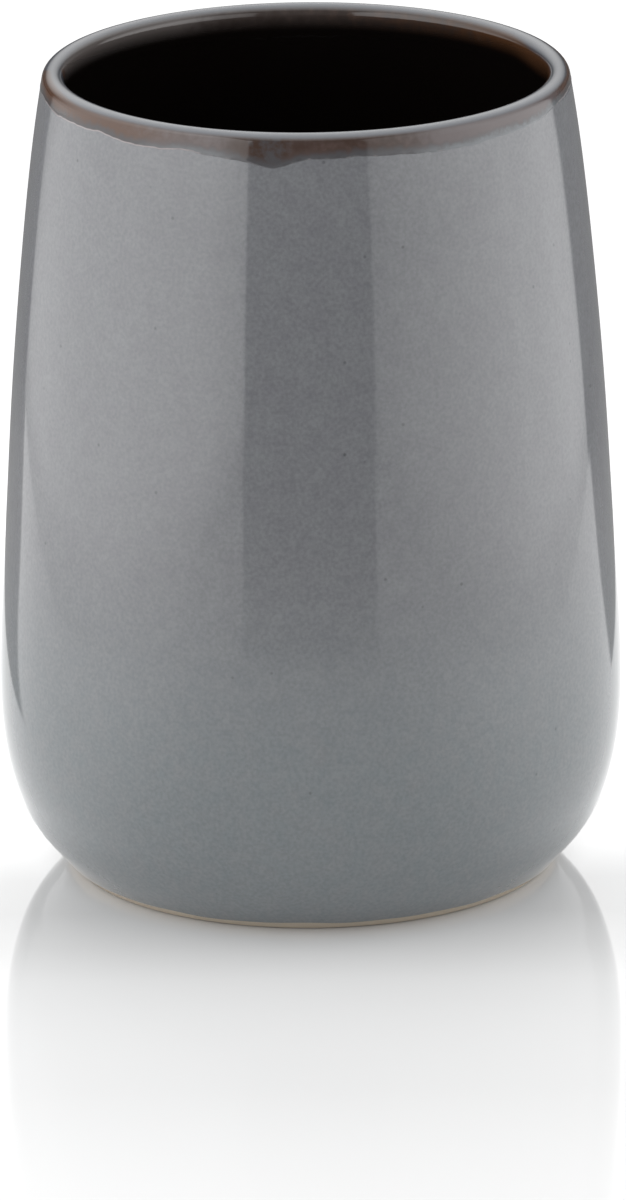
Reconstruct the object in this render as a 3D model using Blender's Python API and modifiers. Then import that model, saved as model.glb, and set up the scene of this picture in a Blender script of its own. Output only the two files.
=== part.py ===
"""Bathroom tumbler: a thrown stoneware cup and the coats of glaze fired onto it.

Metres, +Z up. The cup stands on z = 0 and is turned about the Z axis. Every coat lies on one
line, which runs from the middle of the floor inside, up the wall, over the lip and down the
outside to the foot. The clay is the same line, sunk by the thickness of the coats.
"""

import bmesh
import bpy
import numpy as np
from mathutils import Vector
from mathutils.geometry import interpolate_bezier

# Outside of the glazed cup
HEIGHT = 0.110
BELLY_DIAMETER = 0.0837
BELLY_HEIGHT = 0.027
MOUTH_DIAMETER = 0.0702
FOOT_DIAMETER = 0.0664
MOUTH_LEAN = np.radians(10)
FOOT_LEAN = np.radians(38)

# Wall and inside
LIP_THICKNESS = 0.0030
WALL_THICKNESS = 0.0044
FLOOR_HEIGHT = 0.0065
FLOOR_DIAMETER = 0.048
FLOOR_CORNER_HEIGHT = 0.0105

# Foot
BARE_FOOT_HEIGHT = 0.0010
FOOT_RING_WIDTH = 0.0040
FOOT_ROUNDING = 0.0005
RECESS_DEPTH = 0.0018
RECESS_MARGIN = 0.0012

# Coats of glaze, the gap that keeps each off its neighbour, and the line where the lip was dipped
GLAZE_THICKNESS = 0.00035
SEAT_GAP = 0.0003
DIP_DEPTH = 0.0029
INNER_DIP_DEPTH = 0.0045
CUTTER_OVERRUN = 0.004

# Points of the side as shares of the way up and of the way out, foot to belly and belly to mouth
LOWER_SIDE_SHARES = ((0.15, 0.39), (0.42, 0.80))
UPPER_SIDE_SHARES = ((0.21, 0.87), (0.45, 0.70), (0.72, 0.43))
# How far a rounded corner's handles reach towards the corner
CORNER_SHARE = 0.6
# The dip line, once round: degrees from the front (to the right), share of the dip's depth.
# The longest run of glaze hangs just left of the front.
FRONT = -90
DIP_LINE_SHARES = (
    (-180, 1.00), (-162, 1.10), (-148, 0.95), (-132, 1.08), (-118, 0.92), (-102, 1.06), (-90, 0.90),
    (-78, 0.80), (-70, 1.05), (-62, 0.98), (-56, 1.04), (-51, 0.92), (-42, 1.10), (-33, 1.12),
    (-28, 0.93), (-22, 1.08), (-15, 1.20), (-8, 1.52), (-5, 1.52), (-1, 1.06), (4, 1.13), (13, 1.03),
    (20, 1.12), (28, 1.18), (38, 1.18), (47, 1.09), (59, 1.03), (66, 0.83), (73, 0.72), (84, 0.66),
    (98, 0.88), (110, 1.05), (124, 0.94), (138, 1.10), (152, 0.96), (166, 1.05), (180, 1.00),
)

# Facets round the cup and spans along each stretch of the line
FACETS = 48
DIP_FACETS = 96
CORNER_SPANS = 5
WALL_SPANS = 6
LIP_HALF_SPANS = 3
UPPER_SPANS = 6
LOWER_SPANS = 8
EDGE_SPANS = 3
WELD_DISTANCE = 0.00001

LIP_RADIUS = LIP_THICKNESS / 2
MOUTH_HEIGHT = HEIGHT - LIP_RADIUS * (1 - np.sin(MOUTH_LEAN))
COAT_DEPTH = GLAZE_THICKNESS + SEAT_GAP


def side_stations():
    """Heights and radii of the points that the glazed side passes through, from the foot up."""
    foot = np.array((BARE_FOOT_HEIGHT, FOOT_DIAMETER / 2))
    belly = np.array((BELLY_HEIGHT, BELLY_DIAMETER / 2))
    mouth = np.array((MOUTH_HEIGHT, MOUTH_DIAMETER / 2))
    lower = [foot + (belly - foot) * shares for shares in LOWER_SIDE_SHARES]
    upper = [
        (belly[0] + (mouth[0] - belly[0]) * up, mouth[1] + (belly[1] - mouth[1]) * out)
        for up, out in UPPER_SIDE_SHARES
    ]
    return np.array([foot, *lower, belly, *upper, mouth]).T


def side_curve():
    """A function of height that gives the glazed side's radius and slope: the cubic spline
    through the stations that leaves the foot and meets the mouth at their leans."""
    heights, radii = side_stations()
    step = np.diff(heights)
    rise = np.diff(radii) / step
    last = len(heights) - 1
    system = np.zeros((len(heights), len(heights)))
    change = np.zeros(len(heights))
    for i in range(1, last):
        system[i, i - 1 : i + 2] = step[i - 1], 2 * (step[i - 1] + step[i]), step[i]
        change[i] = 6 * (rise[i] - rise[i - 1])
    system[0, :2] = 2 * step[0], step[0]
    change[0] = 6 * (rise[0] - np.tan(FOOT_LEAN))
    system[last, -2:] = step[-1], 2 * step[-1]
    change[last] = 6 * (-np.tan(MOUTH_LEAN) - rise[-1])
    bend = np.linalg.solve(system, change)

    def side(height):
        i = int(np.clip(np.searchsorted(heights, height) - 1, 0, last - 1))
        low = (heights[i + 1] - height) / step[i]
        high = (height - heights[i]) / step[i]
        curve = (low**3 - low) * bend[i] + (high**3 - high) * bend[i + 1]
        radius = low * radii[i] + high * radii[i + 1] + curve * step[i] ** 2 / 6
        turn = (3 * high**2 - 1) * bend[i + 1] - (3 * low**2 - 1) * bend[i]
        return radius, rise[i] + turn * step[i] / 6

    return side


def wall_thickness(height):
    """Thickness at a height: the lip's at the mouth, easing to the wall's at the belly."""
    share = np.clip((MOUTH_HEIGHT - height) / (MOUTH_HEIGHT - BELLY_HEIGHT), 0, 1)
    eased = share * share * (3 - 2 * share)
    return LIP_THICKNESS + (WALL_THICKNESS - LIP_THICKNESS) * eased


def inner_point(side, height):
    """The point inside the wall that lies square across it from the outside at this height."""
    radius, slope = side(height)
    across = wall_thickness(height) / np.hypot(1, slope)
    return radius - across, height + slope * across


def corner_curve(start, corner, end, spans):
    """Points of a soft corner from start to end, both included."""
    start, corner, end = (Vector((x, z)).to_3d() for x, z in (start, corner, end))
    handles = start.lerp(corner, CORNER_SHARE), end.lerp(corner, CORNER_SHARE)
    points = interpolate_bezier(start, *handles, end, spans + 1)
    return [(point.x, point.y) for point in points]


def lip_arc():
    """The half round of the lip, from its inner side to its outer side."""
    centre_radius = MOUTH_DIAMETER / 2 - LIP_RADIUS * np.cos(MOUTH_LEAN)
    centre_height = HEIGHT - LIP_RADIUS
    top = np.pi / 2
    inner_half = np.linspace(MOUTH_LEAN + np.pi, top, LIP_HALF_SPANS + 1)
    outer_half = np.linspace(top, MOUTH_LEAN, LIP_HALF_SPANS + 1)
    return [
        (centre_radius + LIP_RADIUS * np.cos(a), centre_height + LIP_RADIUS * np.sin(a))
        for a in (*inner_half, *outer_half[1:])
    ]


def glaze_line():
    """Points (radius, height) of the glazed surface, and where its lip begins and ends."""
    side = side_curve()
    corner_top = FLOOR_HEIGHT + FLOOR_CORNER_HEIGHT
    wall_foot = inner_point(side, corner_top)
    slope = side(corner_top)[1]
    crossing = (wall_foot[0] - slope * (wall_foot[1] - FLOOR_HEIGHT), FLOOR_HEIGHT)
    floor_edge = (FLOOR_DIAMETER / 2, FLOOR_HEIGHT)
    inside = [(0.0, FLOOR_HEIGHT), *corner_curve(floor_edge, crossing, wall_foot, CORNER_SPANS)]
    wall_heights = np.linspace(corner_top, MOUTH_HEIGHT, WALL_SPANS + 1)
    inside += [inner_point(side, z) for z in wall_heights[1:-1]]
    upper = np.linspace(MOUTH_HEIGHT, BELLY_HEIGHT, UPPER_SPANS + 1)
    lower = np.linspace(BELLY_HEIGHT, BARE_FOOT_HEIGHT, LOWER_SPANS + 1)
    outside = [(side(z)[0], z) for z in (*upper[1:], *lower[1:])]
    lip = lip_arc()
    return np.array(inside + lip + outside), len(inside), len(inside) + len(lip) - 1


def sunk(line, depth):
    """The line moved into the wall by a depth, square to itself."""
    along = np.diff(line, axis=0)
    along /= np.linalg.norm(along, axis=1)[:, None]
    heading = np.concatenate([along[:1], along[:-1] + along[1:], along[-1:]])
    heading /= np.linalg.norm(heading, axis=1)[:, None]
    inward = np.stack([heading[:, 1], -heading[:, 0]], axis=1)
    return line + inward * depth


def foot_points(clay_end):
    """The bare foot: down from the clay under the glaze's edge, across the ring, into the recess.
    It also gives the radius of the recess."""
    outer_edge = clay_end[0] - clay_end[1] * np.tan(FOOT_LEAN)
    inner_edge = outer_edge - FOOT_RING_WIDTH
    up_side = FOOT_ROUNDING * np.array((np.sin(FOOT_LEAN), np.cos(FOOT_LEAN)))
    inward = np.array((-FOOT_ROUNDING, 0.0))
    up = np.array((0.0, FOOT_ROUNDING))
    points = []
    for corner, back, ahead in (
        (np.array((outer_edge, 0.0)), up_side, inward),
        (np.array((inner_edge, 0.0)), -inward, up),
        (np.array((inner_edge, RECESS_DEPTH)), -up, inward),
    ):
        points += corner_curve(corner + back, corner, corner + ahead, EDGE_SPANS)
    return points + [(0.0, RECESS_DEPTH)], inner_edge


def dip_offset(angle):
    """How much deeper than its mean the dip line lies at an angle round the lip. It eases from
    each of its points to the next."""
    places, shares = np.array(DIP_LINE_SHARES).T
    place = (np.degrees(angle) - FRONT + 180) % 360 - 180
    i = min(np.searchsorted(places, place, side="right"), len(places) - 1)
    way = (place - places[i - 1]) / (places[i] - places[i - 1])
    share = shares[i - 1] + (shares[i] - shares[i - 1]) * way * way * (3 - 2 * way)
    return DIP_DEPTH * (share - 1)


def linear(hex_colour):
    """The linear RGBA of an sRGB hex colour."""
    channels = [int(hex_colour[i : i + 2], 16) / 255 for i in (1, 3, 5)]
    return [c / 12.92 if c <= 0.04045 else ((c + 0.055) / 1.055) ** 2.4 for c in channels] + [1.0]


def ceramic(name, hex_colour, roughness):
    """A fired ceramic surface of one colour."""
    material = bpy.data.materials.new(name)
    material.use_nodes = True
    shader = material.node_tree.nodes["Principled BSDF"]
    shader.inputs["Base Color"].default_value = linear(hex_colour)
    shader.inputs["Roughness"].default_value = roughness
    shader.inputs["Metallic"].default_value = 0.0
    material.diffuse_color = linear(hex_colour)
    return material


def turned(name, line, material, collection):
    """A piece turned about the Z axis from a line of (radius, height) points."""
    mesh = bpy.data.meshes.new(name)
    edges = [(i, i + 1) for i in range(len(line) - 1)]
    mesh.from_pydata([(radius, 0.0, height) for radius, height in line], edges, [])
    piece = bpy.data.objects.new(name, mesh)
    collection.objects.link(piece)
    mesh.materials.append(material)
    screw = piece.modifiers.new("turned", "SCREW")
    screw.axis = "Z"
    screw.steps = FACETS
    screw.render_steps = FACETS
    screw.use_merge_vertices = True
    screw.merge_threshold = WELD_DISTANCE
    screw.use_smooth_shade = True
    return piece


def coat(name, line, material, collection):
    """A coat of glaze whose outer face is the turned line."""
    piece = turned(name, line, material, collection)
    shell = piece.modifiers.new("glaze", "SOLIDIFY")
    shell.thickness = GLAZE_THICKNESS
    shell.offset = -1
    shell.use_even_offset = True
    return piece


def dip_cutter(name, clearance, collection):
    """A ring round the lip whose underside is the wavy dip line, lowered by a clearance."""
    middle = MOUTH_DIAMETER / 2 - LIP_RADIUS
    inner = middle - LIP_RADIUS - CUTTER_OVERRUN
    outer = middle + LIP_RADIUS + CUTTER_OVERRUN
    top = HEIGHT + CUTTER_OVERRUN
    outer_dip = HEIGHT - DIP_DEPTH - clearance
    inner_dip = HEIGHT - INNER_DIP_DEPTH - clearance
    section = [
        (outer, top),
        (outer, outer_dip),
        (middle, outer_dip),
        (middle, inner_dip),
        (inner, inner_dip),
        (inner, top),
    ]
    shape = bmesh.new()
    # Half a facet round, so that no edge of the ring meets an edge of a coat
    start = np.pi / DIP_FACETS
    corners = [shape.verts.new((r * np.cos(start), r * np.sin(start), z)) for r, z in section]
    sides = [shape.edges.new((corners[i - 1], corners[i])) for i in range(len(corners))]
    bmesh.ops.spin(
        shape,
        geom=corners + sides,
        axis=(0, 0, 1),
        cent=(0, 0, 0),
        angle=2 * np.pi,
        steps=DIP_FACETS,
        use_merge=True,
    )
    for vert in shape.verts:
        if vert.co.z < HEIGHT:
            vert.co.z -= dip_offset(np.arctan2(vert.co.y, vert.co.x))
    bmesh.ops.recalc_face_normals(shape, faces=shape.faces)
    mesh = bpy.data.meshes.new(name)
    shape.to_mesh(mesh)
    shape.free()
    cutter = bpy.data.objects.new(name, mesh)
    cutter.hide_render = True
    cutter.display_type = "WIRE"
    collection.objects.link(cutter)
    return cutter


def cut(piece, cutter, operation):
    """Trims a coat to the dip line."""
    trim = piece.modifiers.new("dip line", "BOOLEAN")
    trim.operation = operation
    trim.solver = "EXACT"
    trim.object = cutter


def new_collection(name):
    collection = bpy.data.collections.new(name)
    bpy.context.scene.collection.children.link(collection)
    return collection


def build():
    for old in list(bpy.data.objects):
        bpy.data.objects.remove(old)
    parts = new_collection("bathroom_tumbler")
    cutters = new_collection("cutters")

    line, lip_start, lip_end = glaze_line()
    clay = sunk(line, COAT_DEPTH)
    foot, recess_edge = foot_points(clay[-1])

    bare_clay = ceramic("bare_stoneware", "#b5a78f", 0.75)
    turned("stoneware_body", [*clay, *foot], bare_clay, parts)

    dark_glaze = ceramic("dark_liner_glaze", "#120d0a", 0.08)
    liner = coat("liner_glaze", line[: lip_start + 1], dark_glaze, parts)
    brown_glaze = ceramic("brown_rim_glaze", "#6f5f58", 0.10)
    rim = coat("rim_glaze", line[lip_start - 1 : lip_end + 2], brown_glaze, parts)
    grey_glaze = ceramic("grey_outer_glaze", "#7f8485", 0.08)
    outer = coat("outer_glaze", line[lip_end:], grey_glaze, parts)

    trimmed = dip_cutter("dip_cutter_for_body_coats", SEAT_GAP, cutters)
    kept = dip_cutter("dip_cutter_for_rim_coat", 0.0, cutters)
    cut(liner, trimmed, "DIFFERENCE")
    cut(outer, trimmed, "DIFFERENCE")
    cut(rim, kept, "INTERSECT")

    recess_glaze = ceramic("grey_recess_glaze", "#7b8081", 0.12)
    recess_level = RECESS_DEPTH - COAT_DEPTH
    recess_line = [(recess_edge - RECESS_MARGIN, recess_level), (0.0, recess_level)]
    coat("underside_glaze", recess_line, recess_glaze, parts)


build()
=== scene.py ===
"""Looks of the bathroom tumbler: a stoneware cup, glazed grey outside and near black inside, whose
lip was dipped once more in a brown glaze.

Metres, +Z up. The cup stands on z = 0 and is turned about the Z axis. Every coat of glaze follows
one line, from the middle of the floor inside, up the wall, over the lip and down to the foot.
"""

import bmesh
import bpy
import numpy as np
from mathutils import Matrix, Vector
from mathutils.geometry import interpolate_bezier


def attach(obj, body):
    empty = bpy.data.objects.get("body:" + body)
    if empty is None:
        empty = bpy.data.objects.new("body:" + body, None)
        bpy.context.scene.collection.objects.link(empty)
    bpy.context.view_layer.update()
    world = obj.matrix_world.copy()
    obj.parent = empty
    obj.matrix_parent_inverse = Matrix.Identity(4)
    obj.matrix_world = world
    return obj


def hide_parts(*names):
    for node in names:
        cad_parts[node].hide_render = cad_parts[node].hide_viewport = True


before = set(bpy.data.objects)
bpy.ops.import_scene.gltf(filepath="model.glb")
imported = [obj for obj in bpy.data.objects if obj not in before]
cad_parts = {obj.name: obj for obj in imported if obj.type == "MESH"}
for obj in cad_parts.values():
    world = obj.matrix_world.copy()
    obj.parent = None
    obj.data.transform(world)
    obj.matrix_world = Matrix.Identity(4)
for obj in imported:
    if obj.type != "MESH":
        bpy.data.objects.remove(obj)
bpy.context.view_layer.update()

MM = 0.001

# Outside of the glazed cup
HEIGHT = 0.110
BELLY_DIAMETER = 0.0837
BELLY_HEIGHT = 0.027
MOUTH_DIAMETER = 0.0702
FOOT_DIAMETER = 0.0664
MOUTH_LEAN = np.radians(10)
FOOT_LEAN = np.radians(38)

# Wall and inside
LIP_THICKNESS = 0.0030
WALL_THICKNESS = 0.0044
FLOOR_HEIGHT = 0.0065
FLOOR_DIAMETER = 0.048
FLOOR_CORNER_HEIGHT = 0.0105

# Foot
BARE_FOOT_HEIGHT = 0.0010
FOOT_RING_WIDTH = 0.0040
FOOT_ROUNDING = 0.0005
RECESS_DEPTH = 0.0018
RECESS_MARGIN = 0.0012

# Coats of glaze. The liner and the grey coat reach under the brown one by the overlap
GLAZE_THICKNESS = 0.0003
RIM_OVERLAP = 0.0012
# The brown coat stands a little proud of them, with a bead along its rounded edge
RIM_PROUD = 0.00003
RIM_BEAD = 0.00003
RIM_BEAD_WIDTH = 0.00025
RIM_EDGE_DEPTH = GLAZE_THICKNESS / 3
RIM_EDGE_WIDTH = RIM_BEAD_WIDTH / 3
GLAZE_EDGE_ROUNDING = 0.0004
# The glaze was wiped off the foot a little unevenly: waves round the foot, and how high each is
FOOT_WIPES = ((3, 0.00010), (7, 0.00010), (12, 0.00008), (22, 0.00006))

# The line where the lip was dipped: its depth outside and inside, and its fine ripples
DIP_DEPTH = 0.0029
INNER_DIP_DEPTH = 0.0045
# Waves round the lip, and how high each is. Inside they are higher
RIPPLES = ((19, 0.00002), (31, 0.00003), (47, 0.00003), (71, 0.00002), (113, 0.00002), (167, 0.00001))
INNER_RIPPLE_SHARE = 2
SOFTENING_DEGREES = 2.0
# Each wave is turned on from the last. The lines of waves start at different turns
GOLDEN_ANGLE = np.radians(137.5)
OUTER_START, INNER_START, FOOT_START = 0, 3, 5

# Points of the side as shares of the way up and of the way out, foot to belly and belly to mouth
LOWER_SIDE_SHARES = ((0.15, 0.39), (0.42, 0.80))
UPPER_SIDE_SHARES = ((0.21, 0.87), (0.45, 0.70), (0.72, 0.43))
# How far a rounded corner's handles reach towards the corner
CORNER_SHARE = 0.6
# The front, in degrees from the X axis
FRONT = -90
# The dip line, once round: degrees from the front (to the right), share of the dip's depth
DIP_LINE_SHARES = (
    (-180, 1.00), (-162, 1.10), (-148, 0.95), (-132, 1.08), (-118, 0.92), (-102, 1.06), (-90, 0.90),
    (-78, 0.80), (-70, 1.05), (-62, 0.98), (-56, 1.04), (-51, 0.92), (-42, 1.10), (-33, 1.12),
    (-28, 0.93), (-22, 1.08), (-15, 1.20), (-8, 1.52), (-5, 1.52), (-1, 1.06), (4, 1.13), (13, 1.03),
    (20, 1.12), (28, 1.18), (38, 1.18), (47, 1.09), (59, 1.03), (66, 0.83), (73, 0.72), (84, 0.66),
    (98, 0.88), (110, 1.05), (124, 0.94), (138, 1.10), (152, 0.96), (166, 1.05), (180, 1.00),
)
# Where the brown coat breaks orange, and where it clouds to mauve grey: degrees from the front, share
ORANGE_SHARES = (
    (-180, 0.2), (-150, 0.1), (-120, 0.1), (-98, 0.4), (-88, 1.4), (-70, 1.2), (-55, 1.0), (-40, 0.9),
    (-24, 0.6), (-16, 0.2), (-9, 0.0), (0, 0.2), (22, 0.2), (35, 0.1), (60, 0.1), (72, 0.6), (85, 1.1),
    (110, 1.3), (140, 0.6), (180, 0.2),
)
MAUVE_SHARES = (
    (-180, 0.3), (-160, 0.3), (-145, 1.1), (-98, 1.1), (-88, 0.0), (-45, 0.0), (-32, 0.6), (-19, 0.7),
    (-13, 0.0), (-8, 0.3), (0, 0.3), (22, 0.3), (30, 0.9), (45, 1.2), (65, 1.1), (75, 0.3), (90, 0.0),
    (110, 0.0), (180, 0.3),
)

# Fired glossy, the grey and the brown glaze mirror almost sharply
GLAZE_ROUGHNESS = 0.07

# Patterns in the grey glaze, each as the width of a patch and its gap: mottling, a salt and pepper
# grain, and the faint unevenness of the face
MOTTLE_WIDTH = 0.0025
GRAIN_WIDTH = 0.0005
UNEVEN_WIDTH = 0.0015
# Between which values the grain's pattern turns from dark to light, and how much that changes
GRAIN_RANGE = (0.3, 0.7)
GRAIN_STRENGTH = 0.10
UNEVEN_DEPTH = 0.00001
UNEVEN_STRENGTH = 0.25
# Iron specks about 0.4 mm wide: the distance between the cells of their pattern, how many of these
# have one, where a speck begins and where it is full as shares of that distance, and its darkness
SPECK_SPACING = 0.0025
SPECKED_SHARE = 0.13
SPECK_EDGE_SHARES = (0.13, 0.04)
SPECK_DARKNESS = 0.35
# Heights at which the cooler grey of the foot begins and is full
COOLER_HEIGHTS = (0.055, 0.020)

# Clouds in the brown coat, and how far they sway the places where its looks set in
CLOUD_WIDTH = 0.0012
ORANGE_SWAY_SHARE = 1.2
MAUVE_SWAY_SHARE = 0.8
POOL_SWAY_SHARE = 0.7
EDGE_SWAY_MM = 1.6
# What is noted on the brown coat's points for its material. The run is the share of the dip's depth
RIM_NOTES = ("from_crown_mm", "from_edge_mm", "run", "orange", "mauve")
# Shares at which a look sets in and is full: orange, mauve, the run's pool and the highest orange
ORANGE_ONSET_SHARES = (0.75, 1.5)
MAUVE_ONSET_SHARES = (0.5, 1.4)
POOL_ONSET_SHARES = (1.7, 1.95)
HIGH_ORANGE_SHARES = (1.0, 1.4)
# Millimetres from the coat's edge at which a look sets in and is full
THICK_EDGE_MM = (2.4, 1.2)
CLOUDY_EDGE_MM = (2.1, 0.9)
THIN_EDGE_MM = (0.3, 0.0)
THIN_EDGE_SHARE = 0.4
PALE_BEAD_AND_HIGHLIGHT_EDGE_MM = (0.32, 0.2)
# Millimetres from the lip's crown, negative inside, at which a look sets in and is full, and how
# much further in all of these begin where the coat is most orange
GREY_CROWN_MM = (1.5, 0.9)
INNER_BROWN_MM = (-0.7, -1.5)
INNER_BLACK_MM = (-1.6, -4.5)
ORANGE_CLIMB_MM = 0.9

# Fineness of the turned meshes
FACETS = 288
RIM_FACETS = 816
CORNER_SPANS = 14
WALL_SPANS = 48
LIP_SPANS = 36
SIDE_SPANS = 96
EDGE_SPANS = 6
RIM_SPANS = 60
RIM_CROWDING_SHARE = 0.93
SEARCH_SPANS = 399
POLE_MERGE = 1e-7

LIP_RADIUS = LIP_THICKNESS / 2
MOUTH_HEIGHT = HEIGHT - LIP_RADIUS * (1 - np.sin(MOUTH_LEAN))

# Camera: how the photograph looks at the cup
CAMERA_DISTANCE = 1.66
CAMERA_ELEVATION = np.radians(17.37)
CAMERA_ROLL = np.radians(-0.46)
CAMERA_AIM = Vector((0.00038, 0.0, 0.03578))
LENS_MM = 370.05
SENSOR_MM = 36

# Studio: two diffusion panels beside the cup, on a white table
PANEL_DISTANCE = 0.20
PANEL_TOP = 0.42
LEFT_PANEL_ENDS = (-0.455, 0.215)
RIGHT_PANEL_ENDS = (-0.43, 0.148)
# Share of the slanted way from a panel's front end to its back end, which leans forward, and the
# glow there
END_SLANT = 0.18
LEFT_GLOW_SHARES = (
    (0, 1.45), (0.12, 1.65), (0.30, 2.25), (0.51, 2.4), (0.68, 1.75), (0.76, 1.3), (0.845, 0.75),
    (0.865, 0), (1, 0),
)
RIGHT_GLOW_SHARES = (
    (0, 0.7), (0.17, 0.95), (0.39, 1.45), (0.62, 2.35), (0.76, 1.9), (0.845, 1.2), (0.865, 0), (1, 0),
)
# Share of the way up a panel, and how that changes its glow
GLOW_UP_SHARES = (
    (0.0, 0.64), (0.02, 0.74), (0.038, 0.92), (0.07, 0.98), (0.17, 1.0), (0.26, 1.08), (0.36, 1.18),
    (1.0, 1.18),
)
# A panel fades out upwards, sooner towards its back end: share of the slanted way up, glow left
LEFT_FADE_SLANT = 1.3
LEFT_FADE_SHARES = ((0, 1), (0.57, 1), (0.62, 0.75), (0.65, 0.4), (0.68, 0.15), (0.72, 0), (1, 0))
RIGHT_FADE_SLANT = 0.8
RIGHT_FADE_SHARES = ((0, 1), (0.56, 1), (0.61, 0.75), (0.65, 0.4), (0.69, 0.1), (0.72, 0), (1, 0))
AMBIENT = 0.38
# Reflections see a dim room, and a ceiling that is brightest over the cup and a little behind it.
# The lean is the direction of that place. The edge is the cosine of the angle to it at which the
# glow sets in and is full
CEILING_LEAN = (-0.07, 0.325, 0.943)
CEILING_EDGE = (0.40, 1.0)
CEILING_GLOW = 4.7
ROOM_GLOW = 0.15
TABLE_RADIUS = 4.0
TABLE_FACETS = 96
TABLE_ALBEDO = 0.86
# From the front of the table to the back, on the Y axis: share of the way, and how much the
# camera's lift adds there
TABLE_DEPTH = (-0.2, 0.5)
TABLE_LIFT_SHARES = (
    (0, 0), (0.07, 0.01), (0.15, 0.02), (0.19, 0.10), (0.21, 0.14), (0.23, 0.09), (0.25, 0.1),
    (0.27, 0.25), (0.29, 0.62), (0.57, 0.67), (0.71, 0.72), (1, 0.77),
)
# Between these distances from the axis the shadow at the foot ends and the lift sets in
SHADOW_REACH = (0.029, 0.038)
# A painted sheen: beside the cup the table glows for reflections, standing in for the panels that
# its polish catches: the glow, metres from the axis, degrees from the front
PAINTED_SIDE_SHEEN = 0.72
PAINTED_SHEEN_REACH = (0.034, 0.050)
PAINTED_SHEEN_TURN = (21, 80)
# The mirror image in the table: how strong it is at the axis, how fast it fades, how much light
# it throws back and how blurred it is
GLOSS_AT_FOOT = 0.82
GLOSS_REACH = 0.065
GLOSS_DEPTH = 0.49
GLOSS_ROUGHNESS = 0.03
# How far out the table in front looks lit in reflections, before its painted shade sets in:
# degrees from the front, metres. It is fully painted dim so many times as far out
FRONT_REACH = ((0, 0.24), (23.5, 0.24), (26.5, 1.0), (180, 1.0))
REACH_SOFTNESS = 1.38
# Behind the cup the table gets painted shade too, beyond a lit oval and between two straight
# edges: the direction across each, and how far that way it lies
WEDGE_SIDES = (((0.834, 0.552, 0.0), -0.0555), ((-0.623, 0.782, 0.0), 0.0))
WEDGE_SOFTNESS = 0.004
OVAL_MIDDLE = (0.0, 0.06, 0.0)
OVAL_HALF_SIZE = (0.090, 0.115, 1.0)
OVAL_SOFTNESS = 0.03
# How much of the table's white is taken away as painted shade, which only reflections see, in
# front of the cup and elsewhere
FRONT_PAINTED_DIMMING = 0.8
BACK_PAINTED_DIMMING = 0.4


# The shape of the cup


def side_stations():
    """Heights and radii of the points that the glazed side passes through, from the foot up."""
    foot = np.array((BARE_FOOT_HEIGHT, FOOT_DIAMETER / 2))
    belly = np.array((BELLY_HEIGHT, BELLY_DIAMETER / 2))
    mouth = np.array((MOUTH_HEIGHT, MOUTH_DIAMETER / 2))
    lower = [foot + (belly - foot) * shares for shares in LOWER_SIDE_SHARES]
    upper = [
        (belly[0] + (mouth[0] - belly[0]) * up, mouth[1] + (belly[1] - mouth[1]) * out)
        for up, out in UPPER_SIDE_SHARES
    ]
    return np.array([foot, *lower, belly, *upper, mouth]).T


def side_curve():
    """A function of height that gives the glazed side's radius and slope: the cubic spline
    through the stations that leaves the foot and meets the mouth at their leans."""
    heights, radii = side_stations()
    step = np.diff(heights)
    rise = np.diff(radii) / step
    last = len(heights) - 1
    system = np.zeros((len(heights), len(heights)))
    change = np.zeros(len(heights))
    for i in range(1, last):
        system[i, i - 1 : i + 2] = step[i - 1], 2 * (step[i - 1] + step[i]), step[i]
        change[i] = 6 * (rise[i] - rise[i - 1])
    system[0, :2] = 2 * step[0], step[0]
    change[0] = 6 * (rise[0] - np.tan(FOOT_LEAN))
    system[last, -2:] = step[-1], 2 * step[-1]
    change[last] = 6 * (-np.tan(MOUTH_LEAN) - rise[-1])
    bend = np.linalg.solve(system, change)

    def side(height):
        i = int(np.clip(np.searchsorted(heights, height) - 1, 0, last - 1))
        low = (heights[i + 1] - height) / step[i]
        high = (height - heights[i]) / step[i]
        curve = (low**3 - low) * bend[i] + (high**3 - high) * bend[i + 1]
        radius = low * radii[i] + high * radii[i + 1] + curve * step[i] ** 2 / 6
        turn = (3 * high**2 - 1) * bend[i + 1] - (3 * low**2 - 1) * bend[i]
        return radius, rise[i] + turn * step[i] / 6

    return side


def wall_thickness(height):
    """Thickness at a height: the lip's at the mouth, easing to the wall's at the belly."""
    share = np.clip((MOUTH_HEIGHT - height) / (MOUTH_HEIGHT - BELLY_HEIGHT), 0, 1)
    return LIP_THICKNESS + (WALL_THICKNESS - LIP_THICKNESS) * share * share * (3 - 2 * share)


def inner_point(side, height):
    """The point inside the wall that lies square across it from the outside at this height."""
    radius, slope = side(height)
    across = wall_thickness(height) / np.hypot(1, slope)
    return radius - across, height + slope * across


def corner_curve(start, corner, end, spans):
    """Points of a soft corner from start to end, both included."""
    start, corner, end = (Vector((x, z)).to_3d() for x, z in (start, corner, end))
    handles = start.lerp(corner, CORNER_SHARE), end.lerp(corner, CORNER_SHARE)
    points = interpolate_bezier(start, *handles, end, spans + 1)
    return [(point.x, point.y) for point in points]


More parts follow.
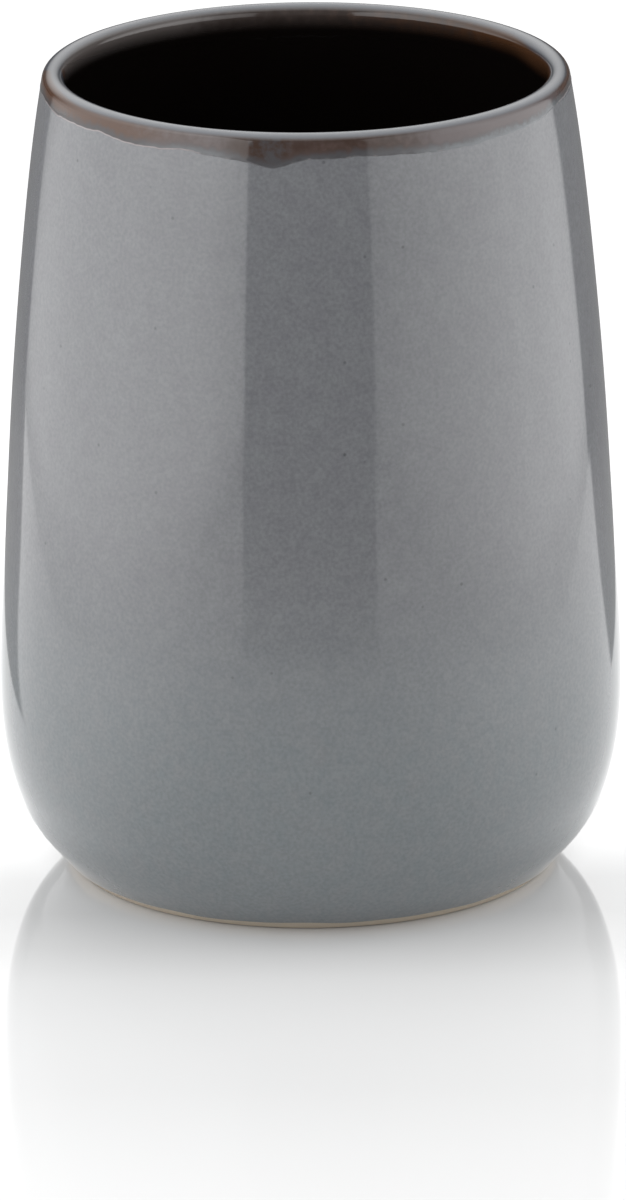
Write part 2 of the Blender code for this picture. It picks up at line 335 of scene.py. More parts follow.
def glaze_line():
    """Points (radius, height) of the glazed surface, and how far along it the lip's crown lies."""
    side = side_curve()
    corner_top = FLOOR_HEIGHT + FLOOR_CORNER_HEIGHT
    wall_foot = inner_point(side, corner_top)
    slope = side(corner_top)[1]
    crossing = (wall_foot[0] - slope * (wall_foot[1] - FLOOR_HEIGHT), FLOOR_HEIGHT)
    floor_edge = (FLOOR_DIAMETER / 2, FLOOR_HEIGHT)
    floor = [(r, FLOOR_HEIGHT) for r in np.linspace(0, FLOOR_DIAMETER / 2, CORNER_SPANS)[:-1]]
    inside = floor + corner_curve(floor_edge, crossing, wall_foot, CORNER_SPANS)
    inside += [inner_point(side, z) for z in np.linspace(corner_top, MOUTH_HEIGHT, WALL_SPANS)[1:-1]]
    centre_radius = MOUTH_DIAMETER / 2 - LIP_RADIUS * np.cos(MOUTH_LEAN)
    centre_height = HEIGHT - LIP_RADIUS
    lip = [
        (centre_radius + LIP_RADIUS * np.cos(a), centre_height + LIP_RADIUS * np.sin(a))
        for a in np.linspace(MOUTH_LEAN + np.pi, MOUTH_LEAN, LIP_SPANS)
    ]
    outside = [(side(z)[0], z) for z in np.linspace(MOUTH_HEIGHT, BARE_FOOT_HEIGHT, SIDE_SPANS)[1:]]
    line = np.array(inside + lip + outside)
    steps = np.linalg.norm(np.diff(line, axis=0), axis=1)
    along = np.concatenate([[0], np.cumsum(steps)])
    crown = along[len(inside)] + LIP_RADIUS * (np.pi / 2 + MOUTH_LEAN)
    return line, along, crown


LINE, ALONG, CROWN = glaze_line()


def headings(line):
    """The unit direction of a line at each of its points."""
    heading = np.gradient(line, axis=0)
    return heading / np.linalg.norm(heading, axis=1)[:, None]


def on_line(distances, depth=0.0):
    """Points of the glazed surface at distances along it, sunk by a depth into the wall."""
    heading = headings(LINE)
    inward = np.stack([heading[:, 1], -heading[:, 0]], axis=1)
    point, direction = (
        np.stack([np.interp(distances, ALONG, values[:, i]) for i in (0, 1)], axis=1)
        for values in (LINE, inward)
    )
    direction /= np.linalg.norm(direction, axis=1)[:, None]
    return point + direction * np.reshape(depth, (-1, 1))


def along_at_depth(depth, outside):
    """How far along the glazed surface the point lies that is a depth below the lip's crown,
    searched for from the crown to well past it."""
    reach = LIP_RADIUS * 3 + depth * 2
    search = np.linspace(CROWN, CROWN + (reach if outside else -reach), SEARCH_SPANS + 1)
    heights = on_line(search)[:, 1]
    return np.interp(-(HEIGHT - depth), -heights, search)


def ripple(angle, waves, start):
    """Fine waves round the cup: the sum of a few even ones, each turned by the golden angle."""
    return sum(
        height * np.cos(count * angle + GOLDEN_ANGLE * (start + k))
        for k, (count, height) in enumerate(waves)
    )


def softened(table, count):
    """The values of a table of (degrees from the front, value) rows at even steps round the cup,
    from the front to the right, with its corners softened."""
    places, values = np.array(table).T
    away = (np.arange(count) * 360 / count + 180) % 360 - 180
    line = np.interp(away, places, values)
    weight = np.exp(-((away / SOFTENING_DEGREES) ** 2) / 2)
    spread = np.fft.ifft(np.fft.fft(line) * np.fft.fft(weight / weight.sum()))
    return spread.real


# Turning sections into meshes


def turned(name, sections, closed=False):
    """A piece made of one section of (radius, height) points for each angle round the Z axis."""
    facets, count, _ = sections.shape
    angle = np.arange(facets)[:, None] * 2 * np.pi / facets
    radius, height = sections[..., 0], sections[..., 1]
    points = np.stack([radius * np.cos(angle), radius * np.sin(angle), height], axis=-1)
    corner = np.arange(facets)[:, None] * count + np.arange(count)[None, :]
    ahead = np.roll(corner, -1, axis=0)
    faces = np.stack([corner, ahead, np.roll(ahead, -1, axis=1), np.roll(corner, -1, axis=1)], axis=-1)
    if not closed:
        faces = faces[:, :-1]
    mesh = bpy.data.meshes.new(name)
    mesh.from_pydata(points.reshape(-1, 3).tolist(), [], faces.reshape(-1, 4).tolist())
    return finished(name, mesh)


def finished(name, mesh):
    """Closes a turned mesh at the axis, turns its faces outward and makes it an object."""
    shape = bmesh.new()
    shape.from_mesh(mesh)
    poles = [vert for vert in shape.verts if np.hypot(vert.co.x, vert.co.y) < POLE_MERGE]
    bmesh.ops.remove_doubles(shape, verts=poles, dist=POLE_MERGE)
    bmesh.ops.recalc_face_normals(shape, faces=shape.faces)
    shape.to_mesh(mesh)
    shape.free()
    mesh.shade_smooth()
    piece = bpy.data.objects.new(name, mesh)
    bpy.context.scene.collection.objects.link(piece)
    return piece


def note(piece, name, values):
    """Keeps one number per point of a piece, for its material to read."""
    made = piece.data.attributes.new(name, "FLOAT", "POINT")
    made.data.foreach_set("value", np.asarray(values, dtype=np.float32).ravel())


def repeated(section):
    """The same section all round the cup."""
    return np.repeat(np.array(section)[None], FACETS, axis=0)


def clay_cup():
    """The fired clay, flush under the edges of the glaze, with its bare foot ring and recess."""
    clay = on_line(ALONG, GLAZE_THICKNESS)
    clay[0, 0] = 0
    outer_edge = clay[-1, 0] - clay[-1, 1] * np.tan(FOOT_LEAN)
    inner_edge = outer_edge - FOOT_RING_WIDTH
    up_side = FOOT_ROUNDING * np.array((np.sin(FOOT_LEAN), np.cos(FOOT_LEAN)))
    inward = np.array((-FOOT_ROUNDING, 0.0))
    up = np.array((0.0, FOOT_ROUNDING))
    section = clay.tolist()
    for corner, back, ahead in (
        (np.array((outer_edge, 0.0)), up_side, inward),
        (np.array((inner_edge, 0.0)), -inward, up),
        (np.array((inner_edge, RECESS_DEPTH)), -up, inward),
    ):
        section += corner_curve(corner + back, corner, corner + ahead, EDGE_SPANS)
    return turned("clay_cup", repeated([*section, (0.0, RECESS_DEPTH)])), inner_edge


def liner_coat():
    """The dark glaze poured round the inside, up to under the dipped lip."""
    top = along_at_depth(INNER_DIP_DEPTH - RIM_OVERLAP, outside=False)
    face = np.append(ALONG[ALONG < top], top)
    section = np.concatenate([on_line(face), on_line(face[::-1], GLAZE_THICKNESS)])
    section[[0, -1], 0] = 0
    return turned("liner_coat", repeated(section))


def rim_profile(distance):
    """How far the brown coat stands proud at a distance from its edge: a rounded bead where the
    dip stopped, and a thin even coat beyond it."""
    rise = 1 - np.exp(-distance / RIM_EDGE_WIDTH)
    bead = np.exp(-(((distance - RIM_BEAD_WIDTH) / RIM_BEAD_WIDTH) ** 2))
    return (RIM_PROUD + RIM_EDGE_DEPTH) * rise + RIM_BEAD * bead - RIM_EDGE_DEPTH


def rim_coat():
    """The brown coat over the lip, with its wavy lower edges outside and inside."""
    spread = np.linspace(0, 1, RIM_SPANS)
    # Points crowd towards both edges, where the bead is
    share = spread - np.sin(2 * np.pi * spread) / (2 * np.pi) * RIM_CROWDING_SHARE
    # The tables begin at the front, and the sections at the X axis
    start = RIM_FACETS * FRONT // 360
    tables = [
        np.roll(softened(table, RIM_FACETS), start)
        for table in (DIP_LINE_SHARES, ORANGE_SHARES, MAUVE_SHARES)
    ]
    sections, from_crown, from_edge = [], [], []
    for i, dip in enumerate(tables[0]):
        angle = 2 * np.pi * i / RIM_FACETS
        fine = ripple(angle, RIPPLES, OUTER_START)
        fine_inside = INNER_RIPPLE_SHARE * ripple(angle, RIPPLES, INNER_START)
        outer = along_at_depth(DIP_DEPTH * dip + fine, outside=True)
        inner = along_at_depth(INNER_DIP_DEPTH + DIP_DEPTH * (dip - 1) + fine_inside, outside=False)
        face = inner + (outer - inner) * share
        edge = np.minimum(face - inner, outer - face)
        front = on_line(face, -rim_profile(edge))
        back = on_line(face[::-1], GLAZE_THICKNESS)
        sections.append(np.concatenate([front, back]))
        from_crown.append(np.concatenate([face, face[::-1]]) - CROWN)
        from_edge.append(np.concatenate([edge, edge[::-1]]))
    piece = turned("rim_coat", np.array(sections), closed=True)
    notes = [np.array(from_crown) / MM, np.array(from_edge) / MM]
    notes += [np.repeat(table, 2 * RIM_SPANS) for table in tables]
    for name, values in zip(RIM_NOTES, notes):
        note(piece, name, values)
    return piece


def outer_coat():
    """The grey glaze of the side, from under the dipped lip to its rounded edge above the foot."""
    top = along_at_depth(DIP_DEPTH - RIM_OVERLAP, outside=True)
    end = ALONG[-1]
    edge_start = end - GLAZE_EDGE_ROUNDING
    face = np.concatenate([[top], ALONG[(ALONG > top) & (ALONG < edge_start)]])
    turn = np.linspace(0, np.pi / 2, EDGE_SPANS)
    sections = []
    for angle in np.arange(FACETS) * 2 * np.pi / FACETS:
        wipe = ripple(angle, FOOT_WIPES, FOOT_START)
        edge = edge_start + GLAZE_EDGE_ROUNDING * np.sin(turn) + wipe
        sunk = GLAZE_THICKNESS * (1 - np.cos(turn))
        front = np.concatenate([on_line(face), on_line(edge, sunk)])
        back = on_line(face[::-1], GLAZE_THICKNESS)
        sections.append(np.concatenate([front, back]))
    return turned("outer_coat", np.array(sections), closed=True)


def recess_coat(recess_edge):
    """The glaze in the shallow recess under the foot, rounded at its edge."""
    reach = recess_edge - RECESS_MARGIN
    level = RECESS_DEPTH - GLAZE_THICKNESS
    face = [(r, level) for r in np.linspace(0, reach - GLAZE_EDGE_ROUNDING, CORNER_SPANS)]
    turn = np.linspace(0, np.pi / 2, EDGE_SPANS)[1:]
    edge = [
        (reach + GLAZE_EDGE_ROUNDING * (np.sin(a) - 1), RECESS_DEPTH - GLAZE_THICKNESS * np.cos(a))
        for a in turn
    ]
    return turned("recess_coat", repeated([*face, *edge, (0.0, RECESS_DEPTH)]))


# Materials


def linear(hex_colour):
    """The linear RGBA of an sRGB hex colour."""
    channels = [int(hex_colour[i : i + 2], 16) / 255 for i in (1, 3, 5)]
    return [c / 12.92 if c <= 0.04045 else ((c + 0.055) / 1.055) ** 2.4 for c in channels] + [1.0]


def add(tree, kind, inputs=(), **settings):
    """Adds a node with its settings. Each input is a value, another node's output to link, or
    another node, whose first output is linked."""
    made = tree.nodes.new(kind)
    for name, value in settings.items():
        setattr(made, name, value)
    for socket, value in dict(inputs).items():
        if isinstance(value, bpy.types.Node):
            value = value.outputs[0]
        if isinstance(value, bpy.types.NodeSocket):
            tree.links.new(value, made.inputs[socket])
        else:
            made.inputs[socket].default_value = value
    return made


def ramp(tree, factor, stops):
    """Leads a factor through (place, value) stops in straight lines. The places run from 0 to 1."""
    curve = add(tree, "ShaderNodeFloatCurve", {"Value": factor})
    top = max(value for _, value in stops)
    line = curve.mapping.curves[0]
    # The line has its two ends. More points are put between them and then moved to their places
    for _ in stops[2:]:
        line.points.new(0.5, 0.5)
    for point, (place, value) in zip(line.points, stops):
        point.location = place, value / top
        point.handle_type = "VECTOR"
    curve.mapping.update()
    return add(tree, "ShaderNodeMath", {0: curve, 1: top}, operation="MULTIPLY")


def fade_in(tree, value, start, end, top=1.0, cloud=None, sway=0.0):
    """Nothing up to a start, all of the top from an end on, eased between them. With an end below
    the start it fades in downwards. A cloud pattern can fray the place where that happens, by as
    much as the sway."""
    if cloud is not None:
        value = add(tree, "ShaderNodeMath", {0: cloud, 1: sway, 2: value}, operation="MULTIPLY_ADD")
    stretch = {"Value": value, "From Min": start, "From Max": end, "To Max": top}
    return add(tree, "ShaderNodeMapRange", stretch, interpolation_type="SMOOTHSTEP")


def layered(tree, colour, layers):
    """The colour seen once each (share, colour) layer lies over what is under it."""
    for share, over in layers:
        # A colour mix takes the colour below at its input 6 and the one above at its input 7
        mixed = {"Factor": share, 6: colour, 7: over}
        colour = add(tree, "ShaderNodeMix", mixed, data_type="RGBA").outputs[2]
    return colour


def new_material(name):
    """An empty node material and its tree."""
    material = bpy.data.materials.new(name)
    material.use_nodes = True
    material.node_tree.nodes.clear()
    return material, material.node_tree


def grey_stoneware_glaze():
    """Iron-bearing grey glaze, fired glossy: a fine salt and pepper grain, soft mottling and a few
    dark iron specks under a glassy face, a little cooler where it is thicker towards the foot."""
    material, tree = new_material("grey stoneware glaze")
    place = add(tree, "ShaderNodeTexCoord").outputs["Object"]
    height = add(tree, "ShaderNodeSeparateXYZ", {0: place}).outputs["Z"]
    mottle, grain, unevenness = (
        add(tree, "ShaderNodeTexNoise", {"Vector": place, "Scale": 1 / width, "Detail": detail})
        for width, detail in ((MOTTLE_WIDTH, 3.0), (GRAIN_WIDTH, 2.0), (UNEVEN_WIDTH, 2.0))
    )
    cooler = fade_in(tree, height, *COOLER_HEIGHTS)
    # Pale patches of mottling show as much as their pattern says
    mottled = layered(
        tree, linear("#5d5d61"), [(cooler, linear("#5c6366")), (mottle, linear("#66686a"))]
    )
    # The grain makes it a little darker or lighter
    grain = add(
        tree,
        "ShaderNodeMapRange",
        {
            "Value": grain,
            "From Min": GRAIN_RANGE[0],
            "From Max": GRAIN_RANGE[1],
            "To Min": 1 - GRAIN_STRENGTH,
            "To Max": 1 + GRAIN_STRENGTH,
        },
    )
    # Some cells of a pattern of round cells have a dark iron speck in the middle
    cells = add(tree, "ShaderNodeTexVoronoi", {"Vector": place, "Scale": 1 / SPECK_SPACING}).outputs
    speck = fade_in(tree, cells["Distance"], *SPECK_EDGE_SHARES)
    chance = add(tree, "ShaderNodeSeparateColor", {0: cells["Color"]})
    chosen = add(tree, "ShaderNodeMath", {0: chance, 1: 1 - SPECKED_SHARE}, operation="GREATER_THAN")
    speck = add(tree, "ShaderNodeMath", {0: speck, 1: chosen}, operation="MULTIPLY")
    shade = add(
        tree, "ShaderNodeMath", {0: speck, 1: -SPECK_DARKNESS, 2: grain}, operation="MULTIPLY_ADD"
    )
    grained = add(tree, "ShaderNodeVectorMath", {0: mottled, "Scale": shade}, operation="SCALE")
    # The face is faintly uneven, which frays the edges of reflections
    face = add(
        tree,
        "ShaderNodeBump",
        {"Height": unevenness, "Strength": UNEVEN_STRENGTH, "Distance": UNEVEN_DEPTH},
    )
    shader = add(
        tree,
        "ShaderNodeBsdfPrincipled",
        {"Base Color": grained, "Roughness": GLAZE_ROUGHNESS, "IOR": 1.55, "Normal": face},
    )
    add(tree, "ShaderNodeOutputMaterial", {"Surface": shader})
    return material


def brown_rim_glaze():
    """Brown iron glaze, fired glossy: orange brown where it breaks thin over the lip, clouded grey
    where it is thick along its lower edge and in its runs, near black on its way inside."""
    material, tree = new_material("brown rim glaze")
    place = add(tree, "ShaderNodeTexCoord").outputs["Object"]
    cloud = add(
        tree, "ShaderNodeTexNoise", {"Vector": place, "Scale": 1 / CLOUD_WIDTH, "Detail": 6.0}
    )
    from_crown, from_edge, run, orange_note, mauve_note = (
        add(tree, "ShaderNodeAttribute", attribute_name=name).outputs["Fac"] for name in RIM_NOTES
    )
    orange = fade_in(tree, orange_note, *ORANGE_ONSET_SHARES, cloud=cloud, sway=ORANGE_SWAY_SHARE)
    mauve = fade_in(tree, mauve_note, *MAUVE_ONSET_SHARES, cloud=cloud, sway=MAUVE_SWAY_SHARE)
    # It is thick near its edge and in the pool of the run
    thick = fade_in(tree, from_edge, *THICK_EDGE_MM, cloud=cloud, sway=EDGE_SWAY_MM)
    pooled = fade_in(tree, run, *POOL_ONSET_SHARES, cloud=cloud, sway=POOL_SWAY_SHARE)
    thick = add(tree, "ShaderNodeMath", {0: thick, 1: pooled}, operation="MAXIMUM")
    thick_grey = layered(tree, linear("#3f3e40"), [(orange, linear("#373435"))])
    # At its edge it thins out into the grey glaze, over a wider stretch where it is clouded mauve
    thin = fade_in(tree, from_edge, *THIN_EDGE_MM, THIN_EDGE_SHARE)
    cloudy = fade_in(tree, from_edge, *CLOUDY_EDGE_MM, cloud=cloud, sway=EDGE_SWAY_MM)
    cloudy = add(tree, "ShaderNodeMath", {0: cloudy, 1: mauve}, operation="MULTIPLY")
    thin = add(tree, "ShaderNodeMath", {0: thin, 1: cloudy}, operation="MAXIMUM")
    # Where it breaks orange, it ends in a paler bead: partly the glaze's own colour, partly a
    # painted highlight along the bead's ridge
    bead = fade_in(tree, from_edge, *PALE_BEAD_AND_HIGHLIGHT_EDGE_MM)
    bead = add(tree, "ShaderNodeMath", {0: bead, 1: orange}, operation="MULTIPLY")
    outside = layered(
        tree,
        linear("#382b25"),
        [
            (orange, linear("#452d1e")),
            (mauve, linear("#514949")),
            (thick, thick_grey),
            (thin, linear("#5f6265")),
            # The pale bead is partly a painted highlight
            (bead, linear("#7f7878")),
        ],
    )
    inside = layered(
        tree, linear("#3d3532"), [(orange, linear("#4c3322")), (mauve, linear("#5a5452"))]
    )
    # Grey over the crown, brown on the way in, then near black. Where it breaks orange most, the
    # outer brown climbs higher and all of these begin further in
    climb = fade_in(tree, orange_note, *HIGH_ORANGE_SHARES, ORANGE_CLIMB_MM)
    from_crown = add(tree, "ShaderNodeMath", {0: climb, 1: from_crown}, operation="ADD")
    colour = layered(
        tree,
        outside,
        [
            (fade_in(tree, from_crown, *GREY_CROWN_MM), linear("#444850")),
            (fade_in(tree, from_crown, *INNER_BROWN_MM), inside),
            (fade_in(tree, from_crown, *INNER_BLACK_MM), linear("#0b0807")),
        ],
    )
    shader = add(
        tree,
        "ShaderNodeBsdfPrincipled",
        {"Base Color": colour, "Roughness": GLAZE_ROUGHNESS, "IOR": 1.45},
    )
    add(tree, "ShaderNodeOutputMaterial", {"Surface": shader})
    return material


def plain_ceramic(name, colour, roughness):
    """One colour all over: fired clay when it is rough, a poured glaze when it is smooth."""
    material, tree = new_material(name)
    shader = add(
        tree,
        "ShaderNodeBsdfPrincipled",
        {"Base Color": linear(colour), "Roughness": roughness, "IOR": 1.55},
    )
    add(tree, "ShaderNodeOutputMaterial", {"Surface": shader})
    return material


# Studio


def photo_camera():
    """The camera at the photograph's distance, height and slight roll."""
    data = bpy.data.cameras.new("photo_camera")
    data.lens = LENS_MM
    data.sensor_width = SENSOR_MM
    data.clip_end = 3 * TABLE_RADIUS
    camera = bpy.data.objects.new("photo_camera", data)
    bpy.context.scene.collection.objects.link(camera)
    back = Vector((0, -np.cos(CAMERA_ELEVATION), np.sin(CAMERA_ELEVATION)))
    turn = back.to_track_quat("Z", "Y").to_matrix() @ Matrix.Rotation(CAMERA_ROLL, 3, "Z")
    camera.matrix_world = Matrix.Translation(CAMERA_AIM + back * CAMERA_DISTANCE) @ turn.to_4x4()
    bpy.context.scene.camera = camera


def slanted(tree, across, slant, along):
    """The share of a way that leans across, from 0 to 1 again."""
    leaning = add(tree, "ShaderNodeMath", {0: across, 1: slant, 2: along}, operation="MULTIPLY_ADD")
    return add(tree, "ShaderNodeMath", {0: leaning, 1: 1 + slant}, operation="DIVIDE")


def diffusion_panel(name, side, ends, glow_shares, fade_slant, fade_shares):
    """A translucent panel that stands on the table at one side of the cup."""
    front, back = ends
    light = bpy.data.lights.new(name, "AREA")
    light.shape = "RECTANGLE"
    light.size = back - front
    light.size_y = PANEL_TOP
    # At this power a glow of one looks white
    light.energy = np.pi * light.size * light.size_y
    light.use_nodes = True
    tree = light.node_tree
    tree.nodes.clear()
    place = add(tree, "ShaderNodeNewGeometry").outputs["Parametric"]
    place = add(tree, "ShaderNodeSeparateXYZ", {0: place}).outputs
    along = place["X"]
    # The left panel's local Y points down
    up = place["Y"]
    if side < 0:
        up = add(tree, "ShaderNodeMath", {0: 1.0, 1: up}, operation="SUBTRACT")
    glow = ramp(tree, slanted(tree, up, END_SLANT, along), glow_shares)
    for way, shares in (
        (up, GLOW_UP_SHARES),
        (slanted(tree, along, fade_slant, up), fade_shares),
    ):
        share = ramp(tree, way, shares)
        glow = add(tree, "ShaderNodeMath", {0: glow, 1: share}, operation="MULTIPLY")
    lamp = add(tree, "ShaderNodeEmission", {"Strength": glow})
    add(tree, "ShaderNodeOutputLight", {"Surface": lamp})
    panel = bpy.data.objects.new(name, light)
    bpy.context.scene.collection.objects.link(panel)
    middle = Vector((side * PANEL_DISTANCE, (front + back) / 2, PANEL_TOP / 2))
    # Local X runs from the front end to the back end, local Z away from the cup
    turn = Matrix(((0, 0, side), (1, 0, 0), (0, side, 0)))
    panel.matrix_world = Matrix.Translation(middle) @ turn.to_4x4()
    panel.visible_camera = False


def room():
    """White for the camera. Reflections see a bright ceiling over and behind the cup."""
    world = bpy.data.worlds.new("room")
    world.use_nodes = True
    tree = world.node_tree
    tree.nodes.clear()
    rays = add(tree, "ShaderNodeLightPath").outputs
    direction = add(tree, "ShaderNodeTexCoord").outputs["Generated"]
    leaning = add(tree, "ShaderNodeVectorMath", {0: direction, 1: CEILING_LEAN}, operation="DOT_PRODUCT")
    ceiling = add(
        tree,
        "ShaderNodeMapRange",
        {
            "Value": leaning.outputs["Value"],
            "From Min": CEILING_EDGE[0],
            "From Max": CEILING_EDGE[1],
            "To Min": ROOM_GLOW,
            "To Max": CEILING_GLOW,
        },
    )
    mirrored = add(
        tree,
        "ShaderNodeMath",
        {0: rays["Is Glossy Ray"], 1: rays["Is Transmission Ray"]},
        operation="MAXIMUM",
    )
    mirrored = add(tree, "ShaderNodeMath", {0: mirrored, 1: ceiling}, operation="MULTIPLY")
    seen = add(tree, "ShaderNodeMath", {0: mirrored, 1: rays["Is Camera Ray"]}, operation="MAXIMUM")
    strength = add(
        tree,
        "ShaderNodeMath",
        {0: rays["Is Diffuse Ray"], 1: AMBIENT, 2: seen},
        operation="MULTIPLY_ADD",
    )
    background = add(tree, "ShaderNodeBackground", {"Color": (1, 1, 1, 1), "Strength": strength})
    add(tree, "ShaderNodeOutputWorld", {"Surface": background})
    bpy.context.scene.world = world


def turn_from_front(tree, where):
    """The angle, as a share of half a turn, between the front and the way from the axis to a
    place, the same on both sides."""
    forward = add(tree, "ShaderNodeMath", {0: where["Y"], 1: -1}, operation="MULTIPLY")
    turn = add(tree, "ShaderNodeMath", {0: where["X"], 1: forward}, operation="ARCTAN2")
    turn = add(tree, "ShaderNodeMath", {0: turn}, operation="ABSOLUTE")
    return add(tree, "ShaderNodeMath", {0: turn, 1: np.pi}, operation="DIVIDE")


def painted_dim_wedge(tree, place):
    """One where the table behind the cup gets painted shade: inside both edges of the wedge,
    outside the oval.
    """
    oval = add(tree, "ShaderNodeVectorMath", {0: place, 1: OVAL_MIDDLE}, operation="SUBTRACT")
    oval = add(tree, "ShaderNodeVectorMath", {0: oval, 1: OVAL_HALF_SIZE}, operation="DIVIDE")
    oval = add(tree, "ShaderNodeVectorMath", {0: oval}, operation="LENGTH").outputs["Value"]
    dim = fade_in(tree, oval, 1.0, 1 + OVAL_SOFTNESS)
    for across, edge in WEDGE_SIDES:
        beyond = add(tree, "ShaderNodeVectorMath", {0: place, 1: across}, operation="DOT_PRODUCT")
        beyond = beyond.outputs["Value"]
        inside = fade_in(tree, beyond, edge - WEDGE_SOFTNESS, edge + WEDGE_SOFTNESS)
        dim = add(tree, "ShaderNodeMath", {0: dim, 1: inside}, operation="MINIMUM")
    return dim


def painted_table_dimming(tree, place, where, from_cup, turn):
    """Painted shade: how much of the table's white is taken away for reflections, standing in for
    where the lamps would not reach it: far out in front, behind the panels, and in the wedge behind
    the cup."""
    reach = ramp(tree, turn, [(degrees / 180, reach) for degrees, reach in FRONT_REACH])
    soft = add(tree, "ShaderNodeMath", {0: reach, 1: REACH_SOFTNESS}, operation="MULTIPLY")
    front = fade_in(tree, from_cup, reach, soft, FRONT_PAINTED_DIMMING)
    # Painted shade on the table beyond the panels, as reflections see it through them
    sideways = add(tree, "ShaderNodeMath", {0: where["X"]}, operation="ABSOLUTE")
    hidden = fade_in(tree, sideways, PANEL_DISTANCE, PANEL_DISTANCE + WEDGE_SOFTNESS)
    wedge = painted_dim_wedge(tree, place)
    back = add(tree, "ShaderNodeMath", {0: hidden, 1: wedge}, operation="MAXIMUM")
    back = add(tree, "ShaderNodeMath", {0: back, 1: BACK_PAINTED_DIMMING}, operation="MULTIPLY")
    return add(tree, "ShaderNodeMath", {0: back, 1: front}, operation="MAXIMUM")


def camera_lift(tree, where, from_cup):
    """What the camera sees added to the table, for what the lamps don't give it further back. It
    leaves the shadow at the foot alone."""
    depth = add(
        tree,
        "ShaderNodeMapRange",
        {"Value": where["Y"], "From Min": TABLE_DEPTH[0], "From Max": TABLE_DEPTH[1]},
    )
    lift = ramp(tree, depth, TABLE_LIFT_SHARES)
    open_air = fade_in(tree, from_cup, *SHADOW_REACH)
    return add(tree, "ShaderNodeMath", {0: open_air, 1: lift}, operation="MULTIPLY")


def painted_side_sheen(tree, from_cup, turn, painted_dark):
    """A painted sheen: what the glaze sees added to the lit table beside the cup, a glow standing
    in for the panels caught there.
    """
    painted_sheen = fade_in(tree, from_cup, *PAINTED_SHEEN_REACH, PAINTED_SIDE_SHEEN)
    beside = fade_in(tree, turn, *[degrees / 180 for degrees in PAINTED_SHEEN_TURN])
    painted_sheen = add(tree, "ShaderNodeMath", {0: painted_sheen, 1: beside}, operation="MULTIPLY")
    lit = fade_in(tree, painted_dark, BACK_PAINTED_DIMMING, 0)
    return add(tree, "ShaderNodeMath", {0: lit, 1: painted_sheen}, operation="MULTIPLY")


def mirror_strength(tree, from_cup):
    """How strong the mirror image in the table is: most at the cup, fading with the distance."""
    fade = add(tree, "ShaderNodeMath", {0: from_cup, 1: -1 / GLOSS_REACH}, operation="MULTIPLY")
    fade = add(tree, "ShaderNodeMath", {0: fade}, operation="EXPONENT")
    return add(tree, "ShaderNodeMath", {0: fade, 1: GLOSS_AT_FOOT}, operation="MULTIPLY")


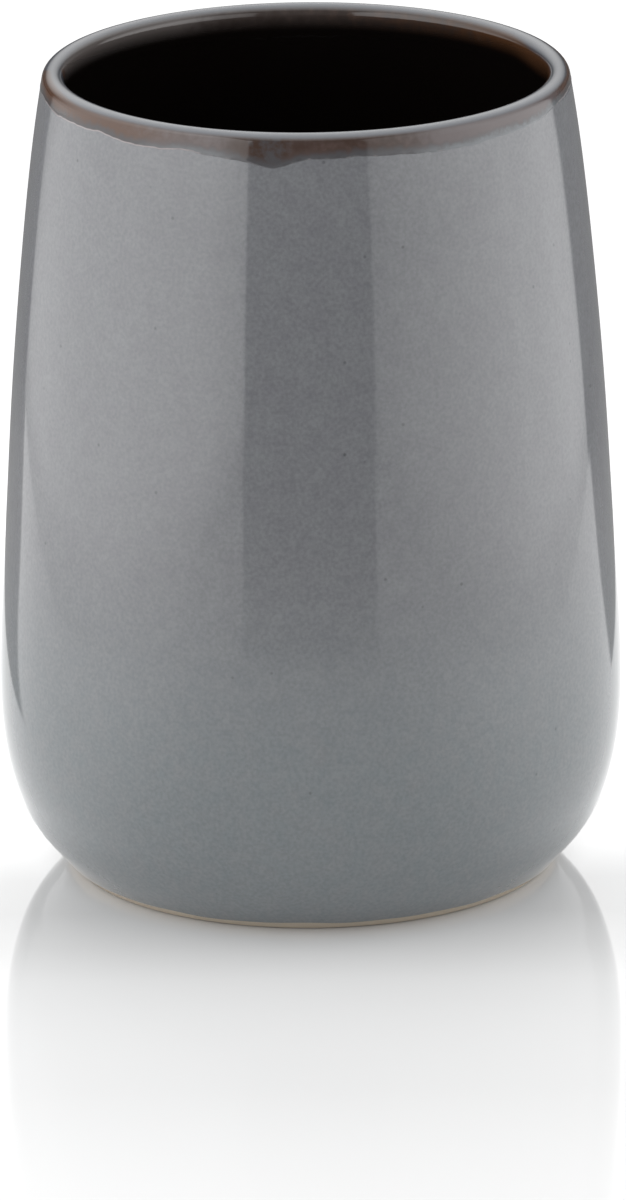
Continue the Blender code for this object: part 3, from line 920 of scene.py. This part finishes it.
def white_acrylic_table():
    """White polished acrylic: matt white with a soft mirror image of what stands on it. The glaze's
    reflections see painted shade on it where the lamps should not reach, and a painted sheen beside
    the cup. It is white to the camera further back."""
    material, tree = new_material("white acrylic table")
    rays = add(tree, "ShaderNodeLightPath").outputs
    place = add(tree, "ShaderNodeNewGeometry").outputs["Position"]
    where = add(tree, "ShaderNodeSeparateXYZ", {0: place}).outputs
    from_cup = add(tree, "ShaderNodeVectorMath", {0: place}, operation="LENGTH").outputs["Value"]
    turn = turn_from_front(tree, where)
    painted_dark = painted_table_dimming(tree, place, where, from_cup, turn)
    painted_dark, painted_sheen, lift, gloss = (
        add(tree, "ShaderNodeMath", {0: amount, 1: rays[kind]}, operation="MULTIPLY")
        for amount, kind in (
            (painted_dark, "Is Glossy Ray"),
            (painted_side_sheen(tree, from_cup, turn, painted_dark), "Is Glossy Ray"),
            (camera_lift(tree, where, from_cup), "Is Camera Ray"),
            (mirror_strength(tree, from_cup), "Is Camera Ray"),
        )
    )
    # The painted shade darkens the table's white for glossy rays only
    white = layered(tree, (TABLE_ALBEDO, TABLE_ALBEDO, TABLE_ALBEDO, 1), [(painted_dark, (0, 0, 0, 1))])
    matt = add(tree, "ShaderNodeBsdfDiffuse", {"Color": white})
    # The painted sheen glows for reflections, the lift for the camera
    glow = add(tree, "ShaderNodeMath", {0: painted_sheen, 1: lift}, operation="ADD")
    glow = add(tree, "ShaderNodeEmission", {"Strength": glow})
    body = add(tree, "ShaderNodeAddShader", {0: matt, 1: glow})
    deep = (GLOSS_DEPTH, GLOSS_DEPTH, GLOSS_DEPTH, 1)
    mirror = add(tree, "ShaderNodeBsdfGlossy", {"Color": deep, "Roughness": GLOSS_ROUGHNESS})
    surface = add(tree, "ShaderNodeMixShader", {0: gloss, 1: body, 2: mirror})
    add(tree, "ShaderNodeOutputMaterial", {"Surface": surface})
    return material


def table():
    """A round table top, wide enough that its far edge is out of sight."""
    shape = bmesh.new()
    bmesh.ops.create_circle(shape, cap_ends=True, segments=TABLE_FACETS, radius=TABLE_RADIUS)
    mesh = bpy.data.meshes.new("table")
    shape.to_mesh(mesh)
    shape.free()
    top = bpy.data.objects.new("table", mesh)
    bpy.context.scene.collection.objects.link(top)
    mesh.materials.append(white_acrylic_table())


# Everything together


def stand_in(piece, node, material):
    """Puts a finished piece in place of a node of the frame."""
    piece.data.materials.append(material)
    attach(piece, "root")
    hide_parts(node)


bpy.context.scene.view_settings.view_transform = "Standard"
photo_camera()
room()
table()
diffusion_panel("left_panel", -1, LEFT_PANEL_ENDS, LEFT_GLOW_SHARES, LEFT_FADE_SLANT, LEFT_FADE_SHARES)
diffusion_panel("right_panel", 1, RIGHT_PANEL_ENDS, RIGHT_GLOW_SHARES, RIGHT_FADE_SLANT, RIGHT_FADE_SHARES)

# Unglazed stoneware, matt and beige: a line under the grey glaze at the foot. Its beige is a
# little darker than the clay's own, as painted shade where the foot meets the table
bare_stoneware_with_painted_shade = plain_ceramic("bare stoneware", "#a29788", roughness=0.75)
# Iron glaze, poured and fired glossy: so dark a brown that the inside looks deep
liner_glaze = plain_ceramic("liner glaze", "#0b0807", roughness=0.1)
# The grey of the outside, a little less glossy under the foot
recess_glaze = plain_ceramic("recess glaze", "#5e6263", roughness=0.14)

clay, recess_edge = clay_cup()
stand_in(clay, "stoneware_body", bare_stoneware_with_painted_shade)
stand_in(liner_coat(), "liner_glaze", liner_glaze)
stand_in(rim_coat(), "rim_glaze", brown_rim_glaze())
stand_in(outer_coat(), "outer_glaze", grey_stoneware_glaze())
stand_in(recess_coat(recess_edge), "underside_glaze", recess_glaze)
